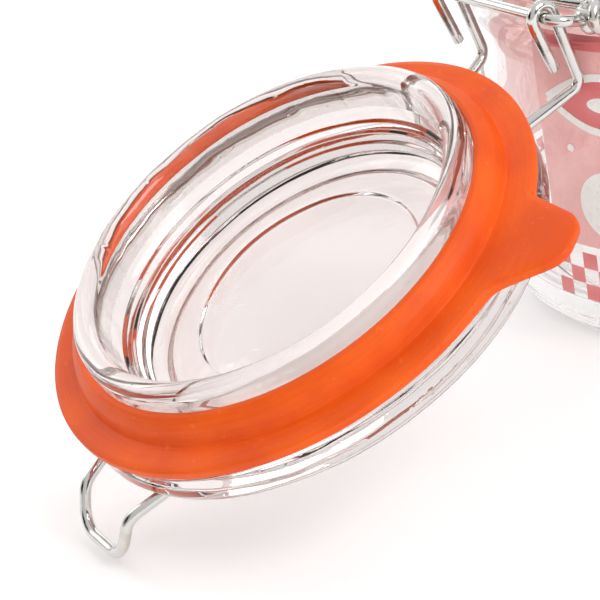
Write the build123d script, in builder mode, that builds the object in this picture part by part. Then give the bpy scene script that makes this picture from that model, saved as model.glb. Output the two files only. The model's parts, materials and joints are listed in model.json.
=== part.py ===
from build123d import *
import os
from math import asin, atan2, cos, hypot, radians, sin, sqrt

# Lidded glass canister with a wire clip closure, its lid swung fully open.
# Millimetres, +Z up. The origin is the centre of the jar's base, the hinge is on +Y
# and the latch on -Y. The lid and the latch lever are drawn in the closed position, on
# planes of their own, which are turned about their pivots into the open position.

# ---- Jar sizes ----
RIM_HEIGHT = 74.3
MOUTH_RADIUS = 43.6
RIM_WIDTH = 5.4
SHOULDER_WIDTH = 3.0
WALL = 3.6
FLOOR = 5.0
HEEL_FILLET = 7.0
FOOT_WIDTH = 2.6
BASE_GROOVE_WIDTH = 3.0
BASE_GROOVE_DEPTH = 1.0
BEAD_HEIGHT = 4.6
NECK_DEPTH = 1.8
NECK_BAND = 4.4
SHOULDER_DROP = 6.5
RIM_EDGE = 1.4

# ---- Wire and its clearances ----
WIRE = 2.1
SEAT_GAP = 0.05
EYE_GAP = 0.12
HINGE_GAP = 0.2
WIRE_BEND = 2.4

# ---- Seal: it lies on the rim, and its lip drops into the mouth round the lid's collar ----
SEAL_GAP = 0.3
SEAL_INSET = 1.0
LIP_CLEARANCE = 0.5
LIP_SLOPE = 2.9
GASKET_THICKNESS = 2.2
GASKET_CREST = 4.4
LIP_ROUND = 0.4
TAB_ANGLE = 25.0
TAB_WIDTH = 24.0
TAB_TIP_WIDTH = 8.4
TAB_REACH = 10.2
TAB_CORNER = 5.0
TAB_ROOT_FILLET = 5.0

# ---- Lid glass ----
COLLAR_CLEARANCE = 4.5
COLLAR_FLARE = 2.9
COLLAR_WALL = 4.3
COLLAR_HEIGHT = 8.2
LID_INSET = 1.7
LID_LAND = 9.8
LID_EDGE = 2.2
LAND_WIDTH = 12.4
BOSS_HEIGHT = 4.2
BOSS_RIM = 4.0
BOSS_RECESS = 1.1
LID_FLOOR = 3.4
STEP_WIDTH = 0.75
STEP_HEIGHT = 2.0
STEP_COUNT = 3
DISC_MARGIN = 12.3
DISC_STEP = 0.45

# ---- Lid wire ----
HINGE_OVERHANG = 6.8
HINGE_DROP = 5.2
HOOK_SPACING = 28.0
LEG_OVERHANG = 0.4
TAIL_RUN = 2.8
TAIL_END_HEIGHT = 4.7
RING_FILLET = 4.0
TONGUE_ROOT_WIDTH = 20.2
TONGUE_ROOT_REACH = 9.0
TONGUE_KINK_WIDTH = 16.4
TONGUE_KINK_OVERHANG = 4.5
TONGUE_KINK_FILLET = 4.5
TONGUE_TIP_WIDTH = 14.0
TONGUE_TIP_OVERHANG = 9.7
TONGUE_LIFT = 5.9
TONGUE_TIP_FILLET = 5.5

# ---- Neck ring, hinge yoke and latch lever ----
EAR_ANGLE = 19.5
EAR_CLEARANCE = 0.38
EAR_ROOM = 5.3
YOKE_WIDTH = 36.4
LATCH_EYE_SPACING = 40.0
PIVOT_INSET = 0.6
PIN_OVERHANG = 2.8
ARM_CLEARANCE = 0.7
LEVER_RISE_Y = 1.4
HANDLE_SIDE_CLEARANCE = 0.7
LEVER_BAR_INSET = 2.8
LEVER_BAR_GAP = 0.35
LEVER_KNEE_DROP = 3.5
HANDLE_TIP_CLEARANCE = 2.0
HANDLE_OVERHANG = 12.0
HANDLE_END_HEIGHT = 3.0
HANDLE_CORNER = 4.5

# ---- How far the moving parts are open ----
LID_OPEN = 203.5
LEVER_OPEN = 90.0

# ---- Derived: the jar's neck and body, and the wire's round bends ----
WIRE_RADIUS = WIRE / 2
RIM_RADIUS = MOUTH_RADIUS + RIM_WIDTH
BODY_RADIUS = RIM_RADIUS + SHOULDER_WIDTH
GROOVE_RADIUS = RIM_RADIUS - NECK_DEPTH
NECK_Z = RIM_HEIGHT - BEAD_HEIGHT - NECK_BAND / 2
NECK_RING_RADIUS = GROOVE_RADIUS + WIRE_RADIUS + SEAT_GAP
HOOK_RADIUS = WIRE + HINGE_GAP
EYE_RADIUS = WIRE + EYE_GAP

# ---- Derived: the seal and the lid follow the mouth and the rim ----
SEAL_Z = RIM_HEIGHT + SEAL_GAP
GASKET_RADIUS = RIM_RADIUS - SEAL_INSET
GASKET_CREASE = MOUTH_RADIUS - LIP_CLEARANCE
GASKET_CREST_RADIUS = GASKET_CREASE - LIP_SLOPE
TAB_TIP_RADIUS = GASKET_RADIUS + TAB_REACH
COLLAR_RADIUS = MOUTH_RADIUS - COLLAR_CLEARANCE
COLLAR_ROOT_RADIUS = COLLAR_RADIUS + COLLAR_FLARE
FLARE_TOP = GASKET_CREST - LIP_ROUND
COLLAR_BORE = COLLAR_RADIUS - COLLAR_WALL
LID_RADIUS = RIM_RADIUS - LID_INSET
BOSS_RADIUS = LID_RADIUS - LAND_WIDTH
LID_TOP = LID_LAND + BOSS_HEIGHT
LID_INSIDE = LID_TOP - BOSS_RECESS - LID_FLOOR
DISC_RADIUS = COLLAR_BORE - DISC_MARGIN

# ---- Derived: the hinge stands clear of the body, and the lid's wire reaches to it ----
HINGE_REACH = BODY_RADIUS + HINGE_OVERHANG
HINGE_Z = SEAL_Z - HINGE_DROP
RING_RADIUS = BOSS_RADIUS + SEAT_GAP + WIRE_RADIUS
RING_HEIGHT = LID_LAND + SEAT_GAP + WIRE_RADIUS
LEG_BEND_Y = HINGE_REACH + LEG_OVERHANG
TAIL_END_Y = HINGE_REACH - TAIL_RUN
TONGUE_ROOT_Y = RING_RADIUS + TONGUE_ROOT_REACH
TONGUE_KINK_Y = LID_RADIUS + TONGUE_KINK_OVERHANG
TONGUE_TIP_Y = LID_RADIUS + TONGUE_TIP_OVERHANG

# ---- Derived: the ears clear the ring, and the lever clears the body and the tongue ----
EAR_REACH = EYE_RADIUS + WIRE + EAR_CLEARANCE
EAR_WIDTH = WIRE + EAR_ROOM
PIVOT_REACH = BODY_RADIUS - PIVOT_INSET
LEVER_ARM_INSET = WIRE + ARM_CLEARANCE
LEVER_BAR_Y = LID_RADIUS - LEVER_BAR_INSET
HANDLE_FRONT_Y = TONGUE_TIP_Y + HANDLE_TIP_CLEARANCE
LEVER_HANDLE_WIDTH = TONGUE_KINK_WIDTH + 2 * (WIRE + HANDLE_SIDE_CLEARANCE)
HANDLE_END_Y = PIVOT_REACH + HANDLE_OVERHANG

# ---- Planes: the closed lid looks down into the jar, then swings about the hinge ----
hinge_at = Location((0, HINGE_REACH, HINGE_Z))
closed_lid = Plane(origin=(0, 0, SEAL_Z), x_dir=(-1, 0, 0), z_dir=(0, 0, -1))
swing = hinge_at * Location((0, 0, 0), (-LID_OPEN, 0, 0)) * hinge_at.inverse()
LID = Plane(swing * closed_lid.location)
LID_SECTION = Plane(origin=LID.origin, x_dir=LID.x_dir, z_dir=-LID.y_dir)
LID_AXIS = Axis(LID.origin, LID.z_dir)
LEVER = Plane(Location((0, -PIVOT_REACH, NECK_Z), (LEVER_OPEN, 0, 0)))


def on_lid(x, y, z):
    """A point given in the lid's own frame, y towards the hinge, z into the jar."""
    return LID.from_local_coords(Vector(x, y, z))


def on_lever(x, y, z):
    """A point of the closed lever, given where it lies on the closed jar."""
    return LEVER.from_local_coords(Vector(x, y + PIVOT_REACH, z - NECK_Z))


def tangent_point(start, centre, radius, side):
    """Where a straight line from start touches a circle, on the side asked for."""
    dy, dz = centre[0] - start[0], centre[1] - start[1]
    distance = hypot(dy, dz)
    length = sqrt(distance**2 - radius**2)
    heading = atan2(dy, dz) + side * asin(radius / distance)
    return start[0] + length * sin(heading), start[1] + length * cos(heading)


def ring_corner(start, heading, side):
    """Fillet between the lid ring and a straight leg that leaves it outwards.

    start is a point of the leg and heading its unit direction away from the ring. Returns
    the arc's end on the leg, its middle and its end on the ring, as (x, y) pairs.
    """
    normal = (side * heading[1], -side * heading[0])
    offset = (start[0] + RING_FILLET * normal[0], start[1] + RING_FILLET * normal[1])
    along = offset[0] * heading[0] + offset[1] * heading[1]
    reach = RING_RADIUS + RING_FILLET
    root = sqrt(along**2 - (offset[0] ** 2 + offset[1] ** 2) + reach**2)
    centre = [offset[i] + (root - along) * heading[i] for i in range(2)]
    on_leg = [centre[i] - RING_FILLET * normal[i] for i in range(2)]
    on_ring = [centre[i] * RING_RADIUS / reach for i in range(2)]
    chord = [(on_leg[i] + on_ring[i]) / 2 - centre[i] for i in range(2)]
    scale = RING_FILLET / hypot(*chord)
    middle = [centre[i] + chord[i] * scale for i in range(2)]
    return on_leg, middle, on_ring


# ---- Jar: a round glass body with a rolled rim, a neck groove and a foot ring ----
neck_bottom = RIM_HEIGHT - BEAD_HEIGHT - NECK_BAND
shoulder_z = neck_bottom - SHOULDER_DROP
inner_radius = BODY_RADIUS - WALL
with BuildPart() as jar_body:
    with BuildSketch(Plane.XZ) as jar_section:
        with BuildLine():
            heel_start = (BODY_RADIUS - HEEL_FILLET, 0)
            groove_outer = (heel_start[0] - FOOT_WIDTH, 0)
            groove_inner = (groove_outer[0] - BASE_GROOVE_WIDTH, 0)
            base = Line((0, 0), groove_inner)
            groove_middle = ((groove_outer[0] + groove_inner[0]) / 2, BASE_GROOVE_DEPTH)
            ThreePointArc(groove_inner, groove_middle, groove_outer)
            Line(groove_outer, heel_start)
            heel = TangentArc(heel_start, (BODY_RADIUS, HEEL_FILLET), tangent=(1, 0))
            side = Line(heel @ 1, (BODY_RADIUS, shoulder_z))
            shoulder = Spline(
                side @ 1,
                (GROOVE_RADIUS, neck_bottom + 1.2),
                tangents=((0, 1), (-0.15, 1)),
            )
            neck = Line(shoulder @ 1, (GROOVE_RADIUS, RIM_HEIGHT - BEAD_HEIGHT - 0.9))
            bead = Line((RIM_RADIUS, RIM_HEIGHT - BEAD_HEIGHT + 0.9), (RIM_RADIUS, RIM_HEIGHT - RIM_EDGE))
            Line(neck @ 1, bead @ 0)
            lip = TangentArc(bead @ 1, (RIM_RADIUS - RIM_EDGE, RIM_HEIGHT), tangent=(0, 1))
            top = Line(lip @ 1, (MOUTH_RADIUS + RIM_EDGE, RIM_HEIGHT))
            mouth = TangentArc(top @ 1, (MOUTH_RADIUS, RIM_HEIGHT - RIM_EDGE), tangent=(-1, 0))
            bore = Line(mouth @ 1, (MOUTH_RADIUS, neck_bottom))
            inner_shoulder = Spline(
                bore @ 1,
                (inner_radius, shoulder_z - 1.5),
                tangents=((0.35, -1), (0, -1)),
            )
            cavity_corner = HEEL_FILLET - 1
            wall = Line(inner_shoulder @ 1, (inner_radius, FLOOR + cavity_corner))
            corner = TangentArc(wall @ 1, (inner_radius - cavity_corner, FLOOR), tangent=(0, -1))
            bottom = Line(corner @ 1, (0, FLOOR))
            Line(bottom @ 1, base @ 0)
        make_face()
    revolve(axis=Axis.Z)

# ---- Neck ring: wire round the groove, two ears at the back, two latch eyes in front ----
ear_radius = NECK_RING_RADIUS + EAR_REACH
eye_x = LATCH_EYE_SPACING / 2
eye_root_y = -sqrt(NECK_RING_RADIUS**2 - eye_x**2)
with BuildPart() as neck_ring:
    with Locations((0, 0, NECK_Z)):
        Torus(NECK_RING_RADIUS, WIRE_RADIUS)
    for side in (1, -1):
        turn = 90 - side * EAR_ANGLE
        ear_plane = Plane(Location((0, 0, NECK_Z), (0, 0, turn)))
        half = EAR_WIDTH / 2
        root = sqrt(NECK_RING_RADIUS**2 - (half + 1) ** 2)
        ear_points = [(root, -half - 1), (ear_radius, -half), (ear_radius, half), (root, half + 1)]
        with BuildLine() as ear_path:
            FilletPolyline(
                *[ear_plane.from_local_coords(Vector(x, y, 0)) for x, y in ear_points],
                radius=WIRE_BEND * 0.75,
            )
        with BuildSketch(ear_path.line ^ 0):
            Circle(WIRE_RADIUS)
        sweep()
        with Locations(Location((side * eye_x, -PIVOT_REACH, NECK_Z), (0, 90, 0))):
            Torus(EYE_RADIUS, WIRE_RADIUS)
        with BuildSketch(Plane((side * eye_x, eye_root_y, NECK_Z), x_dir=(1, 0, 0), z_dir=(0, -1, 0))):
            Circle(WIRE_RADIUS)
        extrude(amount=PIVOT_REACH - EYE_RADIUS + eye_root_y)

# ---- Hinge yoke: a wire bracket whose ends are closed eyes round the ears ----
with BuildPart() as hinge_yoke:
    arm_root = ear_radius + EYE_RADIUS
    ear_x, ear_y = sin(radians(EAR_ANGLE)), cos(radians(EAR_ANGLE))
    yoke_points = [
        (arm_root * ear_x, arm_root * ear_y, NECK_Z),
        (YOKE_WIDTH / 2, HINGE_REACH, HINGE_Z),
        (-YOKE_WIDTH / 2, HINGE_REACH, HINGE_Z),
        (-arm_root * ear_x, arm_root * ear_y, NECK_Z),
    ]
    with BuildLine() as yoke_path:
        FilletPolyline(*yoke_points, radius=WIRE_BEND)
    with BuildSketch(yoke_path.line ^ 0):
        Circle(WIRE_RADIUS)
    sweep()
    for side in (1, -1):
        eye_at = (side * ear_radius * ear_x, ear_radius * ear_y, NECK_Z)
        with Locations(Plane(origin=eye_at, z_dir=(ear_y, -side * ear_x, 0))):
            Torus(EYE_RADIUS, WIRE_RADIUS)

# ---- Lid glass: flange, collar that drops into the mouth, stepped inside, raised top ----
with BuildPart() as lid_glass:
    with BuildSketch(LID_SECTION) as lid_section:
        with BuildLine():
            rim_width = COLLAR_RADIUS - COLLAR_BORE
            rim_z = COLLAR_HEIGHT - rim_width / 2
            rim = ThreePointArc(
                (COLLAR_RADIUS, rim_z),
                (COLLAR_RADIUS - rim_width / 2, COLLAR_HEIGHT),
                (COLLAR_BORE, rim_z),
            )
            step_top = STEP_HEIGHT * 0.9
            steps = [(COLLAR_BORE - 0.7, -step_top + 0.3), (COLLAR_BORE - 1.3, -step_top - 0.2)]
            for index in range(STEP_COUNT):
                step_x = COLLAR_BORE - 1.3 - index * STEP_WIDTH
                step_z = -step_top - 0.2 - (index + 1) * STEP_HEIGHT
                steps.append((step_x - 0.15, step_z + 0.3))
                steps.append((step_x - STEP_WIDTH, step_z))
            inside = Polyline(rim @ 1, *steps)
            disc_edge = (DISC_RADIUS, -LID_INSIDE + DISC_STEP)
            slope = Spline(inside @ 1, (DISC_RADIUS + 2.2, disc_edge[1]), tangents=((-0.5, -1), (-1, 0)))
            disc_floor = Polyline(slope @ 1, disc_edge, (DISC_RADIUS - 0.5, -LID_INSIDE), (0, -LID_INSIDE))
            recess_z = -LID_TOP + BOSS_RECESS
            centre_top = Line(disc_floor @ 1, (0, recess_z))
            recess_radius = BOSS_RADIUS - BOSS_RIM
            top_line = Polyline(
                centre_top @ 1,
                (recess_radius - 1.2, recess_z),
                (recess_radius, -LID_TOP),
                (BOSS_RADIUS - 1.6, -LID_TOP),
            )
            boss_edge = TangentArc(top_line @ 1, (BOSS_RADIUS, -LID_TOP + 1.6), tangent=(1, 0))
            boss_side = Line(boss_edge @ 1, (BOSS_RADIUS, -LID_LAND))
            land = Line(boss_side @ 1, (LID_RADIUS - LID_EDGE, -LID_LAND))
            edge_top = TangentArc(land @ 1, (LID_RADIUS, -LID_LAND + LID_EDGE), tangent=(1, 0))
            under_edge = LID_EDGE * 0.6
            edge = Line(edge_top @ 1, (LID_RADIUS, -GASKET_THICKNESS - under_edge))
            edge_under = TangentArc(edge @ 1, (LID_RADIUS - under_edge, -GASKET_THICKNESS), tangent=(0, 1))
            flange = Line(edge_under @ 1, (COLLAR_ROOT_RADIUS, -GASKET_THICKNESS))
            flare = Line(flange @ 1, (COLLAR_RADIUS, FLARE_TOP))
            Line(flare @ 1, rim @ 0)
        make_face()
    revolve(axis=LID_AXIS)

# ---- Gasket: flat band with a pull tab, and a raised lip that hugs the collar ----
lip_radius = COLLAR_RADIUS + SEAT_GAP


def is_tab_root(point):
    """Whether a point lies where the tab leaves the gasket's round edge, at mid thickness."""
    local = LID.to_local_coords(point)
    on_rim = abs(hypot(local.X, local.Y) - GASKET_RADIUS) < 0.01
    return on_rim and abs(local.Z + GASKET_THICKNESS / 2) < 0.01


with BuildPart() as gasket:
    with BuildSketch(LID.offset(-GASKET_THICKNESS)):
        Circle(GASKET_RADIUS)
        with BuildLine():
            tab_half = TAB_WIDTH / 2
            tab_points = [
                (GASKET_CREASE, tab_half),
                (TAB_TIP_RADIUS, TAB_TIP_WIDTH / 2),
                (TAB_TIP_RADIUS, -TAB_TIP_WIDTH / 2),
                (GASKET_CREASE, -tab_half),
            ]
            heading = radians(TAB_ANGLE)
            turned = [
                (x * cos(heading) - y * sin(heading), x * sin(heading) + y * cos(heading))
                for x, y in tab_points
            ]
            FilletPolyline(*turned, radius=TAB_CORNER)
            Line(turned[-1], turned[0])
        make_face()
        Circle(lip_radius, mode=Mode.SUBTRACT)
    extrude(amount=GASKET_THICKNESS)
    tab_roots = gasket.edges().filter_by(lambda edge: is_tab_root(edge.center()))
    fillet(tab_roots, radius=TAB_ROOT_FILLET)
    with BuildSketch(LID_SECTION):
        with BuildLine():
            crease = (GASKET_CREASE, 0)
            outer_lip = ThreePointArc(
                crease,
                (GASKET_CREASE - 1.0, GASKET_CREST * 0.62),
                (GASKET_CREST_RADIUS, GASKET_CREST),
            )
            Polyline(
                outer_lip @ 1,
                (lip_radius, GASKET_CREST),
                (lip_radius, -GASKET_THICKNESS),
                (GASKET_CREASE, -GASKET_THICKNESS),
                crease,
            )
        make_face()
    revolve(axis=LID_AXIS)
    with BuildSketch(LID_SECTION):
        with BuildLine():
            root_radius = COLLAR_ROOT_RADIUS + SEAT_GAP
            Polyline(
                (lip_radius, FLARE_TOP),
                (root_radius, -GASKET_THICKNESS),
                (lip_radius, -GASKET_THICKNESS),
                (lip_radius, FLARE_TOP),
            )
        make_face()
    revolve(axis=LID_AXIS, mode=Mode.SUBTRACT)

# ---- Lid wire: hooks on the yoke, legs, ring on the lid and the latch tongue ----
hook_x = HOOK_SPACING / 2
bar = (HINGE_REACH, HINGE_DROP)
leg_top = tangent_point((LEG_BEND_Y, -RING_HEIGHT), bar, HOOK_RADIUS, 1)
tail_top = tangent_point((TAIL_END_Y, -TAIL_END_HEIGHT), bar, HOOK_RADIUS, -1)
leg_length = hypot(hook_x, LEG_BEND_Y)
leg_heading = (hook_x / leg_length, LEG_BEND_Y / leg_length)
leg_fillet = ring_corner((hook_x, LEG_BEND_Y), leg_heading, 1)
tongue_dx = (TONGUE_KINK_WIDTH - TONGUE_ROOT_WIDTH) / 2
tongue_dy = TONGUE_ROOT_Y - TONGUE_KINK_Y
tongue_length = hypot(tongue_dx, tongue_dy)
tongue_heading = (tongue_dx / tongue_length, tongue_dy / tongue_length)
tongue_kink = (TONGUE_KINK_WIDTH / 2, -TONGUE_KINK_Y)
tongue_fillet = ring_corner(tongue_kink, tongue_heading, -1)
with BuildPart() as lid_wire:
    with BuildLine() as lid_wire_path:
        for side in (1, -1):
            hook = side * hook_x
            Line(on_lid(hook, TAIL_END_Y, -TAIL_END_HEIGHT), on_lid(hook, *tail_top))
            ThreePointArc(
                on_lid(hook, *tail_top),
                on_lid(hook, HINGE_REACH, HINGE_DROP + HOOK_RADIUS),
                on_lid(hook, *leg_top),
            )
            FilletPolyline(
                on_lid(hook, *leg_top),
                on_lid(hook, LEG_BEND_Y, -RING_HEIGHT),
                on_lid(side * leg_fillet[0][0], leg_fillet[0][1], -RING_HEIGHT),
                radius=WIRE_BEND,
            )
            for corner in (leg_fillet, tongue_fillet):
                ThreePointArc(*[on_lid(side * x, y, -RING_HEIGHT) for x, y in corner])
            ThreePointArc(
                on_lid(side * leg_fillet[2][0], leg_fillet[2][1], -RING_HEIGHT),
                on_lid(side * RING_RADIUS, 0, -RING_HEIGHT),
                on_lid(side * tongue_fillet[2][0], tongue_fillet[2][1], -RING_HEIGHT),
            )
        half_tongue = [
            (*tongue_fillet[0], -RING_HEIGHT),
            (*tongue_kink, -RING_HEIGHT),
            (TONGUE_TIP_WIDTH / 2, -TONGUE_TIP_Y, -RING_HEIGHT - TONGUE_LIFT),
        ]
        tongue = half_tongue + [(-x, y, z) for x, y, z in reversed(half_tongue)]
        FilletPolyline(
            *[on_lid(*point) for point in tongue],
            radius=[TONGUE_KINK_FILLET, TONGUE_TIP_FILLET, TONGUE_TIP_FILLET, TONGUE_KINK_FILLET],
        )
    tail_start = on_lid(hook_x, TAIL_END_Y, -TAIL_END_HEIGHT)
    tail_way = on_lid(hook_x, *tail_top) - tail_start
    with BuildSketch(Plane(origin=tail_start, z_dir=tail_way)):
        Circle(WIRE_RADIUS)
    sweep()

# ---- Latch lever: pins in the eyes, arms, bar over the tongue and a thumb handle ----
bar_z = SEAL_Z + RING_HEIGHT + WIRE + LEVER_BAR_GAP
arm_x = eye_x - LEVER_ARM_INSET
handle_x = LEVER_HANDLE_WIDTH / 2
with BuildPart() as latch_lever:
    half_lever = [
        (eye_x + PIN_OVERHANG, -PIVOT_REACH, NECK_Z),
        (arm_x, -PIVOT_REACH, NECK_Z),
        (arm_x, -PIVOT_REACH + LEVER_RISE_Y, bar_z - LEVER_KNEE_DROP),
        (arm_x, -LEVER_BAR_Y, bar_z),
        (handle_x, -LEVER_BAR_Y, bar_z),
        (handle_x, -HANDLE_FRONT_Y, bar_z),
        (handle_x, -HANDLE_END_Y, NECK_Z + HANDLE_END_HEIGHT),
    ]
    lever_points = half_lever + [(-x, y, z) for x, y, z in reversed(half_lever)]
    bends = [WIRE_BEND] * 5
    with BuildLine() as lever_path:
        FilletPolyline(
            *[on_lever(*point) for point in lever_points],
            radius=bends + [HANDLE_CORNER] * 2 + bends,
        )
    with BuildSketch(lever_path.line ^ 0):
        Circle(WIRE_RADIUS)
    sweep()

# ---- Name each piece and write it ----
os.makedirs("parts", exist_ok=True)
pieces = {
    "jar_body": jar_body,
    "neck_ring": neck_ring,
    "hinge_yoke": hinge_yoke,
    "lid_glass": lid_glass,
    "gasket": gasket,
    "lid_wire": lid_wire,
    "latch_lever": latch_lever,
}
for name, piece in pieces.items():
    piece.part.label = name
    export_step(piece.part, f"parts/{name}.step")
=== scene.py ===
import json
import logging
from dataclasses import dataclass, field
from enum import Enum
from math import acos, asin, atan2, ceil, cos, hypot, pi, radians, sin, sqrt, tan
from typing import Callable, Iterable, Sequence

import bpy
from mathutils import Matrix, Vector, noise


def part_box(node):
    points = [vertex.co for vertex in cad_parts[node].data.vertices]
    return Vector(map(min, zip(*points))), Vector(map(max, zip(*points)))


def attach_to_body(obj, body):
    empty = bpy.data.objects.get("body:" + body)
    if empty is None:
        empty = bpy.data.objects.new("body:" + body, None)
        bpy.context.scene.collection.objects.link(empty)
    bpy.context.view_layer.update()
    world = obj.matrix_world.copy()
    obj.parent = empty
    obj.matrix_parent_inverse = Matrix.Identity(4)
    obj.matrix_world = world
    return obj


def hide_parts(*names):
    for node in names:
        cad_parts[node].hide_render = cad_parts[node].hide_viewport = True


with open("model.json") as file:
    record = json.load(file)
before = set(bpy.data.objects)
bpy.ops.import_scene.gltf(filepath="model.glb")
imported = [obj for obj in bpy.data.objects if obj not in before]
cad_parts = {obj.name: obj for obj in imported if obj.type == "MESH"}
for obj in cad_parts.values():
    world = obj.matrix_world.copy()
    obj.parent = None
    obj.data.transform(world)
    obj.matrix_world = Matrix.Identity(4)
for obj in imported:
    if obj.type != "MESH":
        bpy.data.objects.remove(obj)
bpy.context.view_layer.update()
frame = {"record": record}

MM = 0.001
LOG = logging.getLogger("canister")
Triple = tuple[float, float, float]
Pair = tuple[float, float]
Shift = Callable[[float, float, float], Pair]


class Body(str, Enum):
    """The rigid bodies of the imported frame."""

    JAR = "jar"
    LID = "lid"
    LEVER = "lever"


class Slot(str, Enum):
    """The material slots of the record."""

    JAR_GLASS = "jar_glass"
    LID_GLASS = "lid_glass"
    RUBBER = "gasket_rubber"
    STEEL = "wire_steel"


# ---------------------------------------------------------------- shader building


class Socket:
    """An output socket whose arithmetic adds nodes.

    Values give Math nodes, vectors give Vector Math nodes and colours give Mix nodes.
    """

    def __init__(self, kit: "Kit", socket: bpy.types.NodeSocket) -> None:
        """Wraps a socket.

        Args:
            kit: The node tree that the socket belongs to.
            socket: The output socket.
        """
        self.kit = kit
        self.socket = socket

    def _join(self, operation: str, first: "Operand", second: "Operand") -> "Socket":
        """Adds the node that suits the kinds of its two inputs.

        Args:
            operation: The node's operation.
            first: Its first input.
            second: Its second input.

        Returns:
            The node's result.
        """
        kinds = {part.socket.type for part in (first, second) if isinstance(part, Socket)}
        if "RGBA" in kinds:
            settings = {"data_type": "RGBA", "blend_type": operation}
            return self.kit.node("ShaderNodeMix", settings, {0: 1.0, 6: first, 7: second}, output=2)
        kind = "ShaderNodeVectorMath" if "VECTOR" in kinds else "ShaderNodeMath"
        return self.kit.node(kind, {"operation": operation}, {0: first, 1: second})

    def __add__(self, other: "Operand") -> "Socket":
        """Sum."""
        return self._join("ADD", self, other)

    def __radd__(self, other: "Operand") -> "Socket":
        """Sum with something that isn't a socket."""
        return self._join("ADD", other, self)

    def __sub__(self, other: "Operand") -> "Socket":
        """Difference."""
        return self._join("SUBTRACT", self, other)

    def __rsub__(self, other: "Operand") -> "Socket":
        """Difference from something that isn't a socket."""
        return self._join("SUBTRACT", other, self)

    def __mul__(self, other: "Operand") -> "Socket":
        """Product."""
        return self._join("MULTIPLY", self, other)

    def __rmul__(self, other: "Operand") -> "Socket":
        """Product with something that isn't a socket."""
        return self._join("MULTIPLY", other, self)

    def __truediv__(self, other: "Operand") -> "Socket":
        """Quotient."""
        return self._join("DIVIDE", self, other)

    def __rtruediv__(self, other: "Operand") -> "Socket":
        """Something that isn't a socket, divided by this."""
        return self._join("DIVIDE", other, self)

    def sine(self) -> "Socket":
        """The sine of a value."""
        return self.kit.node("ShaderNodeMath", {"operation": "SINE"}, {0: self})

    def angle(self, across: "Socket") -> "Socket":
        """The angle whose tangent is this value over another."""
        return self._join("ARCTAN2", self, across)

    def at_most(self, other: "Operand") -> "Socket":
        """The smaller of two values."""
        return self._join("MINIMUM", self, other)

    def length(self) -> "Socket":
        """The length of a vector."""
        return self.kit.node("ShaderNodeVectorMath", {"operation": "LENGTH"}, {0: self}, output="Value")

    def parts(self) -> list["Socket"]:
        """The three components of a vector."""
        split = self.kit.raw("ShaderNodeSeparateXYZ", sockets={0: self})
        return [Socket(self.kit, output) for output in split.outputs]

    def ramp(self, low: float, high: float) -> "Socket":
        """0 below low, 1 above high and a smooth step between them.

        Args:
            low: Where the step begins.
            high: Where it ends.

        Returns:
            The stepped value.
        """
        settings = {"interpolation_type": "SMOOTHSTEP"}
        return self.kit.node("ShaderNodeMapRange", settings, {0: self, 1: low, 2: high})


Operand = Socket | float | Triple


class Kit:
    """A node tree under construction."""

    def __init__(self, tree: bpy.types.NodeTree) -> None:
        """Empties a tree.

        Args:
            tree: The node tree.
        """
        self.tree = tree
        tree.nodes.clear()

    def raw(
        self,
        kind: str,
        settings: dict[str, str] | None = None,
        sockets: dict[int | str, Operand] | None = None,
    ) -> bpy.types.Node:
        """Adds a node.

        Args:
            kind: The node's type.
            settings: Properties of the node, set before its sockets.
            sockets: The values or links of its inputs, by name or number.

        Returns:
            The new node.
        """
        made = self.tree.nodes.new(kind)
        for name, setting in (settings or {}).items():
            setattr(made, name, setting)
        for key, value in (sockets or {}).items():
            socket = made.inputs[key]
            if isinstance(value, Socket):
                self.tree.links.new(value.socket, socket)
            elif socket.type == "RGBA":
                socket.default_value = (*value, 1.0)
            else:
                socket.default_value = value
        return made

    def node(
        self,
        kind: str,
        settings: dict[str, str] | None = None,
        sockets: dict[int | str, Operand] | None = None,
        output: int | str = 0,
    ) -> Socket:
        """Adds a node and gives one of its outputs.

        Args:
            kind: The node's type.
            settings: Properties of the node, set before its sockets.
            sockets: The values or links of its inputs, by name or number.
            output: The name or number of the output.

        Returns:
            That output.
        """
        return Socket(self, self.raw(kind, settings, sockets).outputs[output])

    def place(self, output: str = "Object") -> Socket:
        """Where a point is, from the Texture Coordinate node."""
        return self.node("ShaderNodeTexCoord", output=output)

    def noise(
        self, scale: float, detail: float = 2.0, roughness: float = 0.5, place: Socket | None = None
    ) -> Socket:
        """Noise, by default in the object's own space.

        Args:
            scale: Features per metre.
            detail: Octaves of finer noise.
            roughness: How strong the finer octaves are.
            place: Where it is read, if not at the point itself.

        Returns:
            A value about 0.5.
        """
        sockets = {"Vector": place or self.place(), "Scale": scale, "Detail": detail}
        sockets["Roughness"] = roughness
        return self.node("ShaderNodeTexNoise", sockets=sockets, output="Fac")

    def blend(self, factor: Socket, first: Operand, second: Operand) -> Socket:
        """A colour between two others.

        Args:
            factor: 0 for the first colour and 1 for the second.
            first: The first colour.
            second: The second colour.

        Returns:
            The mixed colour.
        """
        return self.node("ShaderNodeMix", {"data_type": "RGBA"}, {0: factor, 6: first, 7: second}, output=2)

    def bump(self, height: Socket, distance: float) -> Socket:
        """A bumped normal.

        Args:
            height: The relief, about 0 to 1.
            distance: How high 1 is, in metres.

        Returns:
            The normal.
        """
        sockets = {"Height": height, "Distance": distance, "Strength": 1.0}
        return self.node("ShaderNodeBump", sockets=sockets)

    def principled(self, **sockets: Operand) -> Socket:
        """A Principled shader, with underscores for the spaces in its inputs' names."""
        named = {name.replace("_", " "): value for name, value in sockets.items()}
        return self.node("ShaderNodeBsdfPrincipled", sockets=named)


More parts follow.
